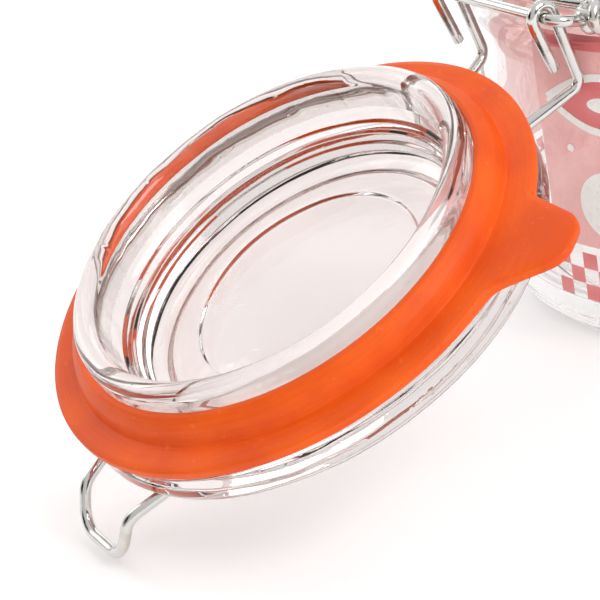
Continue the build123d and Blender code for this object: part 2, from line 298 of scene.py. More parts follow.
class Finish(Kit):
    """One node material under construction."""

    def __init__(self, name: str) -> None:
        """Starts an empty material.

        Args:
            name: The material's name.
        """
        self.material = bpy.data.materials.new(name)
        self.material.use_nodes = True
        super().__init__(self.material.node_tree)

    def finish(self, shader: Socket) -> bpy.types.Material:
        """Connects the shader to the output and returns the material."""
        self.raw("ShaderNodeOutputMaterial", sockets={"Surface": shader})
        return self.material


@dataclass(frozen=True)
class ClearGlass:
    """Pressed glass: colourless, slightly rippled, and it lets lamps through."""

    name: str
    tint: Triple = (0.85, 0.8, 0.785)
    shade: Triple = (0.93, 0.92, 0.92)
    ior: float = 1.5
    ripple: float = 0.00012
    ripple_scale: float = 55.0
    seed_scale: float = 420.0

    def build(self) -> bpy.types.Material:
        """Makes the material.

        Returns:
            The glass.
        """
        kit = Finish(self.name)
        waves = kit.noise(self.ripple_scale, 1.5, 0.4)
        seeds = kit.noise(self.seed_scale, 1.0).ramp(0.66, 0.8)
        glass = kit.principled(
            Base_Color=self.tint,
            Roughness=0.0,
            IOR=self.ior,
            Transmission_Weight=1.0,
            Normal=kit.bump(waves + seeds * 0.08, self.ripple),
        )
        shadow = kit.node("ShaderNodeLightPath", output="Is Shadow Ray")
        clear = kit.node("ShaderNodeBsdfTransparent", sockets={"Color": self.shade})
        return kit.finish(kit.node("ShaderNodeMixShader", sockets={0: shadow, 1: glass, 2: clear}))


@dataclass(frozen=True)
class SealRubber:
    """Moulded orange rubber with a satin skin, faint mottling, dust and streaks round its axis."""

    place: Matrix
    name: str = "seal_rubber"
    bright: Triple = (0.88, 0.115, 0.004)
    deep: Triple = (0.76, 0.08, 0.002)
    dust: Triple = (0.9, 0.25, 0.1)
    dust_cover: float = 0.25
    relief: float = 0.00004
    streak_scale: float = 1900.0
    streak_turn: float = 0.0022

    def build(self) -> bpy.types.Material:
        """Makes the material.

        Returns:
            The rubber.
        """
        kit = Finish(self.name)
        mottle = kit.noise(70.0, 3.0)
        grain = kit.noise(1800.0, 2.0)
        dust = kit.noise(600.0, 2.0).ramp(0.68, 0.74)
        rings = self._rings(kit)
        colour = kit.blend((mottle * 0.75 + rings * 0.25).ramp(0.35, 0.65), self.deep, self.bright)
        rubber = kit.principled(
            Base_Color=kit.blend(dust * self.dust_cover, colour, self.dust),
            Roughness=0.34 + mottle * 0.16 + rings * 0.1 + dust * 0.1,
            Specular_IOR_Level=0.26,
            Normal=kit.bump(grain + mottle * 2.0 + rings * 1.6, self.relief),
        )
        return kit.finish(rubber)

    def _rings(self, kit: Finish) -> Socket:
        """Fine streaks that run round the seal's axis.

        Args:
            kit: The material.

        Returns:
            A value about 0.5.
        """
        local = kit.node(
            "ShaderNodeMapping",
            {"vector_type": "TEXTURE"},
            {
                "Vector": kit.place(),
                "Location": tuple(self.place.translation),
                "Rotation": tuple(self.place.to_euler()),
            },
        )
        x, y, z = local.parts()
        radius = (local * (1.0, 1.0, 0.0)).length()
        turn = y.angle(x) * self.streak_turn
        spot = kit.node("ShaderNodeCombineXYZ", sockets={0: radius, 1: turn, 2: z})
        return kit.noise(self.streak_scale, 3.0, 0.6, spot)


@dataclass(frozen=True)
class DrawnWire:
    """Bright drawn steel wire: mirror-like, with dulled and slightly warm patches."""

    name: str = "drawn_wire"
    metal: Triple = (0.66, 0.65, 0.63)
    warm: Triple = (0.58, 0.52, 0.45)
    relief: float = 0.00002

    def build(self) -> bpy.types.Material:
        """Makes the material.

        Returns:
            The steel.
        """
        kit = Finish(self.name)
        patches = kit.noise(160.0, 3.0, 0.6)
        pits = kit.noise(2600.0, 2.0)
        steel = kit.principled(
            Base_Color=kit.blend(patches.ramp(0.55, 0.75), self.metal, self.warm),
            Metallic=1.0,
            Roughness=0.09 + patches.ramp(0.45, 0.75) * 0.14,
            Normal=kit.bump(pits + patches * 3.0, self.relief),
        )
        return kit.finish(steel)


@dataclass(frozen=True)
class FiredInk:
    """Ceramic ink fired on the glass: a thin, slightly uneven semi-opaque layer."""

    name: str
    colour: Triple
    cover: float = 1.0
    paler_by: float = 0.1
    relief: float = 0.00003

    def build(self) -> bpy.types.Material:
        """Makes the material.

        Returns:
            The ink.
        """
        kit = Finish(self.name)
        uneven = kit.noise(900.0, 3.0, 0.6)
        cloud = kit.noise(90.0, 2.0)
        paler = tuple(min(1.0, part + self.paler_by) for part in self.colour)
        ink = kit.principled(
            Base_Color=kit.blend(cloud.ramp(0.35, 0.7), self.colour, paler),
            Roughness=0.28 + uneven * 0.2,
            Alpha=(self.cover - uneven.ramp(0.5, 0.8) * 0.12).at_most(1.0),
            Normal=kit.bump(uneven, self.relief),
        )
        return kit.finish(ink)


# ---------------------------------------------------------------- shapes


@dataclass(frozen=True)
class Corner:
    """A corner of a turned outline, in millimetres: radius, height and rounding."""

    r: float
    z: float
    rounding: float = 0.0


def rounded(corners: Sequence[Corner], longest: float = 2.0) -> list[Pair]:
    """Points along an outline whose corners are rounded.

    Args:
        corners: The outline's corners in order, open at both ends.
        longest: The longest straight step in millimetres.

    Returns:
        Points as (radius, height) in millimetres.
    """
    path = bent([Vector((c.r, c.z, 0)) for c in corners], [c.rounding for c in corners[1:-1]], 14.0)
    points = [(path[0].x, path[0].y)]
    for here, there in zip(path, path[1:]):
        steps = max(1, ceil((there - here).length / longest))
        for step in range(1, steps + 1):
            spot = here.lerp(there, step / steps)
            points.append((spot.x, spot.y))
    return points


def bent(points: Sequence[Vector], radii: Sequence[float], step: float = 9.0) -> list[Vector]:
    """A polyline with an arc at each inner corner.

    Args:
        points: The corners in order.
        radii: One bend radius for each inner corner.
        step: The turn between two points of an arc, in degrees.

    Returns:
        The points of the bent line.
    """
    line = [points[0].copy()]
    for index, radius in enumerate(radii):
        before, corner, after = points[index], points[index + 1], points[index + 2]
        back = (before - corner).normalized()
        ahead = (after - corner).normalized()
        half = acos(max(-1.0, min(1.0, back.dot(ahead)))) / 2
        if radius <= 0 or half > pi / 2 - 0.01:
            line.append(corner.copy())
            continue
        cut = min(radius / tan(half), 0.49 * (before - corner).length, 0.49 * (after - corner).length)
        radius = cut * tan(half)
        centre = corner + (back + ahead).normalized() * (radius / sin(half))
        start = corner + back * cut - centre
        end = corner + ahead * cut - centre
        turn = pi - 2 * half
        count = max(2, ceil(turn / radians(step)))
        for part in range(count + 1):
            share = part / count
            scale = sin(turn)
            arm = start * (sin((1 - share) * turn) / scale) + end * (sin(share * turn) / scale)
            line.append(centre + arm)
    line.append(points[-1].copy())
    return line


def mirrored(points: Sequence[Vector]) -> list[Vector]:
    """The points on the other side of the middle plane, in reverse order."""
    return [Vector((-p.x, p.y, p.z)) for p in reversed(points)]


def enclosed(mesh: bpy.types.Mesh) -> float:
    """Measures the space inside a mesh.

    Args:
        mesh: The mesh.

    Returns:
        Six times its volume, below zero when its faces look inwards.
    """
    points = [vertex.co for vertex in mesh.vertices]
    middle = sum(points, Vector()) / len(points)
    total = 0.0
    for face in mesh.polygons:
        corners = [points[i] - middle for i in face.vertices]
        for here, there in zip(corners[1:], corners[2:]):
            total += corners[0].dot(here.cross(there))
    return total


def mesh_object(
    name: str,
    verts: Iterable[Sequence[float]],
    faces: Iterable[Sequence[int]],
    material: bpy.types.Material,
) -> bpy.types.Object:
    """A smooth-shaded mesh object.

    Args:
        name: The object's name.
        verts: Its points in metres.
        faces: Its faces as lists of point numbers.
        material: Its material.

    Returns:
        The new object.
    """
    mesh = bpy.data.meshes.new(name)
    mesh.from_pydata([tuple(v) for v in verts], [], [list(f) for f in faces])
    mesh.validate()
    if enclosed(mesh) < 0:
        mesh.flip_normals()
    mesh.shade_smooth()
    mesh.materials.append(material)
    made = bpy.data.objects.new(name, mesh)
    bpy.context.scene.collection.objects.link(made)
    return made


@dataclass
class Turned:
    """A body of revolution with an outline from axis to axis, or a closed ring of outline."""

    name: str
    outline: list[Pair]
    material: bpy.types.Material
    place: Matrix = field(default_factory=Matrix)
    segments: int = 240
    angles: list[float] | None = None
    closed: bool = False
    shift: Shift | None = None

    def build(self) -> bpy.types.Object:
        """Turns the outline.

        Returns:
            The new object.
        """
        verts: list[Vector] = []
        rows: list[list[int]] = []
        angles = self.angles or [2 * pi * step / self.segments for step in range(self.segments)]
        count = len(angles)
        for r, z in self.outline:
            if r < 1e-6:
                verts.append(self.place @ Vector((0, 0, z * MM)))
                rows.append([len(verts) - 1] * count)
                continue
            row = []
            for angle in angles:
                rr, zz = self.shift(angle, r, z) if self.shift else (r, z)
                verts.append(self.place @ Vector((rr * MM * cos(angle), rr * MM * sin(angle), zz * MM)))
                row.append(len(verts) - 1)
            rows.append(row)
        pairs = list(zip(rows, rows[1:]))
        if self.closed:
            pairs.append((rows[-1], rows[0]))
        faces = []
        for low, high in pairs:
            for step in range(count):
                after = (step + 1) % count
                ring = [low[step], low[after], high[after], high[step]]
                unique = list(dict.fromkeys(ring))
                if len(unique) > 2:
                    faces.append(unique)
        return mesh_object(self.name, verts, faces, self.material)


def pressed(amount: float, seed: float) -> Shift:
    """The gentle unevenness of pressed glass.

    Args:
        amount: The largest shift in millimetres.
        seed: Moves the pattern.

    Returns:
        A function of angle, radius and height that gives the shifted radius and height.
    """

    def shift(angle: float, r: float, z: float) -> Pair:
        """Shifts one point.

        Args:
            angle: Where it is round the axis.
            r: Its radius.
            z: Its height.

        Returns:
            Its new radius and height.
        """
        spot = Vector((r * cos(angle) / 14, r * sin(angle) / 14, z / 9 + seed))
        out = noise.noise(spot) + 0.25 * noise.noise(spot * 3.3)
        up = noise.noise(spot + Vector((9, 4, 2)))
        return r + amount * out, z + amount * 0.6 * up

    return shift


@dataclass
class Wire:
    """A round wire along a path, with softly chamfered ends."""

    name: str
    path: list[Vector]
    material: bpy.types.Material
    radius: float = 1.05
    sides: int = 24
    closed: bool = False
    chamfer: float = 0.28

    def fit(self, body: Body, *nodes: str) -> None:
        """Sweeps the wire and puts it on its body.

        Args:
            body: The body that it moves with.
            *nodes: The CAD nodes that it replaces.
        """
        attach(self.build(), body, Slot.STEEL, *nodes)

    def build(self) -> bpy.types.Object:
        """Sweeps the wire along its path, which is in millimetres.

        Returns:
            The new object.
        """
        points = self._even(self.path)
        count = len(points)
        ways = []
        for index in range(count):
            before = points[(index - 1) % count] if self.closed or index else points[0]
            after = points[(index + 1) % count] if self.closed or index < count - 1 else points[-1]
            ways.append((after - before).normalized())
        side = ways[0].orthogonal().normalized()
        sides = []
        for way in ways:
            side = (side - way * side.dot(way)).normalized()
            sides.append(side.copy())
        twist = 0.0
        if self.closed:
            last = (sides[-1] - ways[0] * sides[-1].dot(ways[0])).normalized()
            twist = atan2(last.cross(sides[0]).dot(ways[0]), last.dot(sides[0]))
        rings = [(points[i], ways[i], sides[i], self.radius, twist * i / count) for i in range(count)]
        if not self.closed:
            chamfer = self.chamfer
            first, final = rings[0], rings[-1]
            rings[0] = (first[0], *first[1:3], self.radius - chamfer, 0.0)
            rings.insert(1, (first[0] + first[1] * chamfer, *first[1:3], self.radius, 0.0))
            rings[-1] = (final[0] - final[1] * chamfer, *final[1:3], self.radius, 0.0)
            rings.append((final[0], *final[1:3], self.radius - chamfer, 0.0))
        verts = []
        for centre, way, across, radius, turn in rings:
            up = way.cross(across)
            for step in range(self.sides):
                angle = 2 * pi * step / self.sides + turn
                verts.append((centre + (across * cos(angle) + up * sin(angle)) * radius) * MM)
        faces = []
        loops = len(rings)
        for ring in range(loops if self.closed else loops - 1):
            near, far = ring * self.sides, (ring + 1) % loops * self.sides
            for step in range(self.sides):
                after = (step + 1) % self.sides
                faces.append((near + step, near + after, far + after, far + step))
        if not self.closed:
            faces.append(tuple(reversed(range(self.sides))))
            faces.append(tuple(range((loops - 1) * self.sides, loops * self.sides)))
        return mesh_object(self.name, verts, faces, self.material)

    @staticmethod
    def _even(path: list[Vector]) -> list[Vector]:
        """Leaves doubled points out of a path and divides its long runs.

        Args:
            path: The path.

        Returns:
            The evened path.
        """
        points = [path[0]]
        for spot in path[1:]:
            gap = (spot - points[-1]).length
            if gap < 0.02:
                continue
            start = points[-1]
            parts = max(1, ceil(gap / 3.0))
            points += [start.lerp(spot, part / parts) for part in range(1, parts + 1)]
        return points


def eye_coil(
    centre: Vector, axis: Vector, start: Vector, radius: float, turns: float, pitch: float
) -> list[Vector]:
    """The turns of a wire wrapped round another.

    Args:
        centre: The middle of the coil in millimetres.
        axis: The direction of the wire that it wraps.
        start: The direction from the axis to where the coil begins.
        radius: From the axis to the middle of the wrapped wire.
        turns: How many times it goes round.
        pitch: How far it climbs in one turn.

    Returns:
        Points along the coil.
    """
    axis = axis.normalized()
    across = (start - axis * start.dot(axis)).normalized()
    up = axis.cross(across)
    steps = ceil(turns * 36)
    line = []
    for step in range(steps + 1):
        share = step / steps
        angle = 2 * pi * turns * share
        climb = axis * (pitch * turns * (share - 0.5))
        line.append(centre + (across * cos(angle) + up * sin(angle)) * radius + climb)
    return line


def attach(piece: bpy.types.Object, body: Body, slot: Slot, *nodes: str) -> None:
    """Puts a piece on its body, hides the CAD nodes that it replaces, and reports it.

    Args:
        piece: The new object.
        body: The body that it moves with.
        slot: The record's slot of its finish; not used.
        *nodes: The CAD nodes that it replaces.
    """
    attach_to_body(piece, body.value)
    if nodes:
        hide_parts(*nodes)
    LOG.info("%s rides on %s: %d faces", piece.name, body.value, len(piece.data.polygons))


# ---------------------------------------------------------------- the parts


@dataclass
class Layout:
    """Sizes and places that several pieces share, in millimetres, read from the frame."""

    wire: float = 2.1
    seal_gap: float = 0.3
    lid_ring_height: float = 10.9
    rim_z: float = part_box("jar_body")[1][2] / MM
    body_radius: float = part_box("jar_body")[1][0] / MM
    groove_depth: float = 1.8
    rim_radius: float = 49.0

    def __post_init__(self) -> None:
        """Works out the joints and the lid's frame."""
        joints = {joint["name"]: joint for joint in frame["record"]["behaviour"]["joints"]}
        hinge, pivot = joints["lid_hinge"], joints["lever_pivot"]
        self.hinge = Vector(hinge["pos_m"]) / MM
        self.pivot = Vector(pivot["pos_m"]) / MM
        self.lid_open = max(hinge["range_deg"])
        self.lever_open = -min(pivot["range_deg"])
        self.neck_z = self.pivot.z
        self.neck_ring = self.rim_radius - self.groove_depth + self.wire / 2 + 0.05
        self.seal_z = self.rim_z + self.seal_gap
        self.hinge_drop = self.seal_z - self.hinge.z
        closed = Matrix.Translation((0, 0, self.seal_z)) @ Matrix.Rotation(pi, 4, "Y")
        self.lid = self._turn(self.hinge, -self.lid_open) @ closed
        self.lever = self._turn(self.pivot, self.lever_open)

    @staticmethod
    def _turn(centre: Vector, angle: float) -> Matrix:
        """A turn about an axis along X.

        Args:
            centre: A point of the axis.
            angle: The turn in degrees.

        Returns:
            The turn as a matrix.
        """
        there = Matrix.Translation(centre)
        return there @ Matrix.Rotation(radians(angle), 4, "X") @ there.inverted()

    def lid_place(self) -> Matrix:
        """Where the lid lies.

        Returns:
            The lid's frame in metres: y towards the hinge, z towards the lid's inside.
        """
        place = self.lid.copy()
        place.translation = self.lid.translation * MM
        return place


@dataclass
class Jar:
    """The glass body of the jar."""

    layout: Layout
    glass: bpy.types.Material
    wall: float = 3.6
    floor: float = 5.0
    heel: float = 7.0
    mouth: float = 43.6
    bead: float = 4.6
    neck_band: float = 4.4
    shoulder_drop: float = 6.5

    def outline(self) -> list[Pair]:
        """The section of the glass.

        Returns:
            Points from the axis under the base to the axis on the floor.
        """
        size = self.layout
        top = size.rim_z
        bead_low = top - self.bead
        neck_low = bead_low - self.neck_band
        shoulder = neck_low - self.shoulder_drop
        groove = size.rim_radius - size.groove_depth
        inner = size.body_radius - self.wall
        foot = size.body_radius - self.heel
        corners = [
            Corner(0, 0),
            Corner(foot - 5.6, 0, 0.5),
            Corner(foot - 4.6, 1.0, 0.6),
            Corner(foot - 3.4, 1.0, 0.6),
            Corner(foot - 2.4, 0, 0.5),
            Corner(size.body_radius, 0, self.heel),
            Corner(size.body_radius, shoulder + 2.6, 5.0),
            Corner(groove, neck_low - 0.2, 3.0),
            Corner(groove, bead_low - 0.6, 1.0),
            Corner(size.rim_radius, bead_low + 0.7, 1.0),
            Corner(size.rim_radius, top, 1.6),
            Corner(self.mouth, top, 1.6),
            Corner(self.mouth, neck_low - 1.0, 4.0),
            Corner(inner, shoulder - 0.6, 5.0),
            Corner(inner, self.floor, self.heel - 1),
            Corner(0, self.floor + 0.6),
        ]
        return rounded(corners)

    def build(self) -> None:
        """Makes the jar."""
        body = Turned("jar_glass_body", self.outline(), self.glass, shift=self._shift).build()
        attach(body, Body.JAR, Slot.JAR_GLASS, "jar_body")

    def _shift(self, angle: float, r: float, z: float) -> Pair:
        """Pressed unevenness, kept off the base so that the jar stands flat.

        Args:
            angle: Where a point is round the axis.
            r: Its radius.
            z: Its height.

        Returns:
            Its new radius and height.
        """
        moved_r, moved_z = pressed(0.16, 3.0)(angle, r, z)
        keep = min(1.0, max(0.0, (z - 1.0) / 4.0))
        inside = r < self.layout.body_radius - 0.5
        return (moved_r if inside else min(moved_r, r)) * keep + r * (1 - keep), z + (moved_z - z) * keep


@dataclass
class Lid:
    """The glass lid: flange, collar, stepped inside and raised top."""

    layout: Layout
    glass: bpy.types.Material
    collar: float = 39.1
    flare: float = 2.9
    bore: float = 34.8
    collar_height: float = 8.2
    radius: float = 47.3
    land: float = 9.8
    edge: float = 2.2
    seal_thickness: float = 2.2
    boss: float = 34.9
    boss_height: float = 4.2
    boss_rim: float = 4.0
    recess: float = 1.1
    floor: float = 3.4
    disc: float = 22.5
    step_width: float = 0.75
    step_height: float = 2.0
    steps: int = 3

    def outline(self) -> list[Pair]:
        """The section of the glass.

        Returns:
            Points from the axis inside the lid, round the rim, to the axis on top.
        """
        inside = -(self.land + self.boss_height - self.recess - self.floor)
        corners = [
            Corner(0, inside),
            Corner(self.disc - 0.4, inside, 0.5),
            Corner(self.disc + 0.1, inside + 0.5, 0.4),
            Corner(self.disc + 5.5, inside + 0.7, 4.0),
        ]
        first_z = -2.0
        lowest = self.steps - 1
        for index in range(lowest, -1, -1):
            r = self.bore - 1.3 - index * self.step_width
            z = first_z - (index + 1) * self.step_height
            corners.append(Corner(r - self.step_width, z, 0.35))
            corners.append(Corner(r - 0.1, z + 0.35, 0.3))
        corners += [
            Corner(self.bore - 1.25, first_z - 0.1, 0.35),
            Corner(self.bore - 0.6, first_z + 0.35, 0.35),
            Corner(self.bore, self.collar_height, 2.2),
            Corner(self.collar, self.collar_height, 2.0),
            Corner(self.collar, 4.0, 0.8),
            Corner(self.collar + self.flare, -self.seal_thickness, 0.3),
            Corner(self.radius, -self.seal_thickness, self.edge * 0.6),
            Corner(self.radius, -self.land, self.edge),
            Corner(self.boss, -self.land, 0.7),
            Corner(self.boss, -self.land - self.boss_height, 1.7),
            Corner(self.boss - self.boss_rim, -self.land - self.boss_height, 1.0),
            Corner(self.boss - self.boss_rim - 1.4, -self.land - self.boss_height + self.recess, 1.0),
            Corner(0, -self.land - self.boss_height + self.recess),
        ]
        return rounded(corners, 1.6)

    def build(self) -> None:
        """Makes the lid."""
        made = Turned(
            "lid_glass_body",
            self.outline(),
            self.glass,
            place=self.layout.lid_place(),
            segments=300,
            shift=self._shift,
        ).build()
        attach(made, Body.LID, Slot.LID_GLASS, "lid_glass")

    def _shift(self, angle: float, r: float, z: float) -> Pair:
        """Pressed unevenness that keeps clear of the seal and the wire.

        Args:
            angle: Where a point is round the axis.
            r: Its radius.
            z: Its height.

        Returns:
            Its new radius and height.
        """
        moved = pressed(0.22, 11.0)(angle, r, z)
        return min(moved[0], r), z + (moved[1] - z) * (0.3 if r > self.collar - 0.5 else 1.0)


@dataclass
class Seal:
    """The rubber gasket: flat band, raised lip round the collar and a pull tab."""

    layout: Layout
    rubber: bpy.types.Material
    radius: float = 48.0
    thickness: float = 2.2
    crease: float = 43.1
    crest_radius: float = 40.2
    crest: float = 4.4
    inner: float = 39.15
    flare: float = 2.9
    tab_angle: float = 25.0
    tab_root: float = 12.0
    tab_end: float = 4.2
    tab_tip: float = 58.2
    tab_corner: float = 5.0
    tab_fillet: float = 5.0
    edge: list[Pair] = field(default_factory=list)

    def outline(self) -> list[Pair]:
        """The section of the ring.

        Returns:
            Points of a closed loop.
        """
        corners = [
            Corner(self.inner + 1.0, 1.8),
            Corner(self.inner, self.crest - 0.4, 0.3),
            Corner(self.inner + 0.1, self.crest, 0.3),
            Corner(self.crest_radius + 0.1, self.crest, 0.7),
            Corner(self.crease - 1.0, self.crest * 0.6, 2.4),
            Corner(self.crease - 0.1, 0.05, 0.25),
            Corner(self.crease + 0.35, 0.0, 0.2),
            Corner(self.radius - 1.2, 0.0, 1.0),
            Corner(self.radius, -0.35, 0.5),
            Corner(self.radius, -self.thickness, 0.5),
            Corner(self.inner + self.flare, -self.thickness, 0.2),
            Corner(self.inner + 1.0, 1.8),
        ]
        return rounded(corners, 0.7)[:-1]

    def tab_outline(self) -> list[Pair]:
        """The outer edge where the tab is.

        Returns:
            Points as (angle from the tab's middle, radius).
        """
        slope = (self.tab_root - self.tab_end) / (self.tab_tip - self.crease)
        root_x = self.radius - 1.0
        for _ in range(8):
            root_y = self.tab_root - slope * (root_x - self.crease)
            root_x = sqrt(self.radius**2 - root_y**2)
        root = Vector((root_x, root_y, 0))
        along = Vector((-root.y, root.x, 0)).normalized()
        half = [root + along * 9, root, Vector((self.tab_tip, self.tab_end, 0))]
        corners = half + [Vector((p.x, -p.y, 0)) for p in reversed(half)]
        line = bent(corners, [self.tab_fillet, self.tab_corner, self.tab_corner, self.tab_fillet], 8.0)
        return sorted((atan2(p.y, p.x), max(self.radius, hypot(p.x, p.y))) for p in line[1:-1])

    def angles(self) -> list[float]:
        """Where the ring's segments lie.

        Returns:
            Even steps, and closer ones along the tab's edge.
        """
        tab = [angle for angle, _ in self.edge]
        wide = tab[-1] - tab[0]
        steps = round((2 * pi - wide) / radians(1.0))
        even = [tab[-1] + (2 * pi - wide) * i / steps for i in range(1, steps)]
        return [angle + radians(self.tab_angle) for angle in tab + even]

    def _reach(self, angle: float) -> float:
        """How far the band reaches.

        Args:
            angle: Where, round the axis.

        Returns:
            The radius of its edge there.
        """
        away = (angle - radians(self.tab_angle) + pi) % (2 * pi) - pi
        known = self.edge
        if not known[0][0] <= away <= known[-1][0]:
            return self.radius
        for (a, ra), (b, rb) in zip(known, known[1:]):
            if a - 1e-9 <= away <= b + 1e-9:
                return ra + (rb - ra) * (away - a) / max(b - a, 1e-9)
        return self.radius

    def _shift(self, angle: float, r: float, z: float) -> Pair:
        """Stretches the band outwards where the tab is, and adds a moulded unevenness.

        Args:
            angle: Where a point is round the axis.
            r: Its radius.
            z: Its height.

        Returns:
            Its new radius and height.
        """
        spot = Vector((r * cos(angle) / 9, r * sin(angle) / 9, z / 4))
        uneven = 0.05 * noise.noise(spot)
        if r <= self.crease + 0.4:
            return r, z + (uneven if z > self.crest - 1.0 else 0.0)
        share = (r - self.crease) / (self.radius - self.crease)
        reach = self._reach(angle)
        lift = 0.0
        if reach > self.radius + 1 and z > -self.thickness + 0.3:
            lift = -0.25 * (share**2) * (reach - self.radius) / (self.tab_tip - self.radius)
        return self.crease + share * (reach - self.crease), z + lift

    def build(self) -> None:
        """Makes the seal."""
        self.edge = self.tab_outline()
        ring = Turned(
            "seal_ring",
            self.outline(),
            self.rubber,
            place=self.layout.lid_place(),
            angles=self.angles(),
            closed=True,
            shift=self._shift,
        ).build()
        attach(ring, Body.LID, Slot.RUBBER, "gasket")


@dataclass
class LidWire:
    """The wire on the lid: hooks over the hinge bar, legs, ring and latch tongue."""

    layout: Layout
    steel: bpy.types.Material
    ring: float = 36.0
    hook_spacing: float = 28.0
    hinge_gap: float = 0.2
    leg_bend_y: float = 59.2
    tail_y: float = 56.0
    tail_z: float = 4.7
    bend: float = 2.4
    ring_fillet: float = 4.0
    root: Pair = (10.1, 45.0)
    kink: Pair = (8.2, 51.8)
    tip: Pair = (7.0, 57.0)
    lift: float = 5.9
    kink_bend: float = 4.5
    tip_bend: float = 5.5

    def _touch(self, start: Pair, centre: Pair, side: int) -> Pair:
        """Where a straight line from start touches the hook's circle.

        Args:
            start: The line's start as (y, z).
            centre: The middle of the hinge bar as (y, z).
            side: 1 for the side away from the lid, -1 for the side of its centre.

        Returns:
            The point as (y, z).
        """
        radius = self.layout.wire + self.hinge_gap
        dy, dz = centre[0] - start[0], centre[1] - start[1]
        gap = hypot(dy, dz)
        heading = atan2(dy, dz) + side * asin(radius / gap)
        length = sqrt(gap**2 - radius**2)
        return start[0] + length * sin(heading), start[1] + length * cos(heading)

    def _corner(self, start: Pair, heading: Pair, side: int) -> list[Pair]:
        """The arc between a straight leg and the ring.

        Args:
            start: A point of the leg as (x, y).
            heading: The leg's unit direction away from the ring.
            side: Which side of the leg the ring goes on.

        Returns:
            Points from the leg to the ring.
        """
        f = self.ring_fillet
        normal = (side * heading[1], -side * heading[0])
        ox, oy = start[0] + f * normal[0], start[1] + f * normal[1]
        along = ox * heading[0] + oy * heading[1]
        reach = self.ring + f
        move = sqrt(along**2 - (ox * ox + oy * oy) + reach**2) - along
        cx, cy = ox + move * heading[0], oy + move * heading[1]
        first = atan2(-normal[1], -normal[0])
        last = atan2(-cy, -cx)
        turn = (last - first + pi) % (2 * pi) - pi
        angles = [first + turn * i / 10 for i in range(11)]
        return [(cx + f * cos(angle), cy + f * sin(angle)) for angle in angles]

    def half(self) -> list[Vector]:
        """One half of the wire.

        Returns:
            Points from the cut end of the hook's tail to the start of the tongue.
        """
        layout = self.layout
        x = self.hook_spacing / 2
        bar = (layout.hinge.y, layout.hinge_drop)
        radius = layout.wire + self.hinge_gap
        tail_end = (self.tail_y, -self.tail_z)
        tail = self._touch(tail_end, bar, -1)
        leg = self._touch((self.leg_bend_y, -self.layout.lid_ring_height), bar, 1)
        line = [Vector((x, *tail_end))]
        low = atan2(tail[1] - bar[1], tail[0] - bar[0])
        high = atan2(leg[1] - bar[1], leg[0] - bar[0])
        turn = (high - low) % (2 * pi) - 2 * pi
        line += [
            Vector((x, bar[0] + radius * cos(angle), bar[1] + radius * sin(angle)))
            for angle in (low + turn * i / 24 for i in range(25))
        ]
        length = hypot(x, self.leg_bend_y)
        rear = self._corner((x, self.leg_bend_y), (x / length, self.leg_bend_y / length), 1)
        front_way = Vector((self.kink[0] - self.root[0], self.root[1] - self.kink[1])).normalized()
        front = self._corner((self.kink[0], -self.kink[1]), (front_way.x, front_way.y), -1)
        bend = Vector((x, self.leg_bend_y, -self.layout.lid_ring_height))
        flat = [Vector((px, py, -self.layout.lid_ring_height)) for px, py in rear]
        line += bent([line[-1], bend, flat[0]], [self.bend], 8.0)[1:]
        line += flat
        first = atan2(rear[-1][1], rear[-1][0])
        last = atan2(front[-1][1], front[-1][0])
        steps = 60
        line += [
            Vector((
                self.ring * cos(first + (last - first) * i / steps),
                self.ring * sin(first + (last - first) * i / steps),
                -self.layout.lid_ring_height,
            ))
            for i in range(1, steps)
        ]
        line += [Vector((px, py, -self.layout.lid_ring_height)) for px, py in reversed(front)]
        return line

    def build(self) -> None:
        """Makes the wire."""
        half = self.half()
        low = -self.layout.lid_ring_height
        tongue = [
            half[-1],
            Vector((self.kink[0], -self.kink[1], low)),
            Vector((self.tip[0], -self.tip[1], low - self.lift)),
        ]
        tongue += mirrored(tongue)
        front = bent(tongue, [self.kink_bend, self.tip_bend, self.tip_bend, self.kink_bend], 6.0)
        path = half + front[1:-1] + mirrored(half)
        placed = [self.layout.lid @ point for point in path]
        Wire("lid_bail_wire", placed, self.steel, self.layout.wire / 2).fit(Body.LID, "lid_wire")


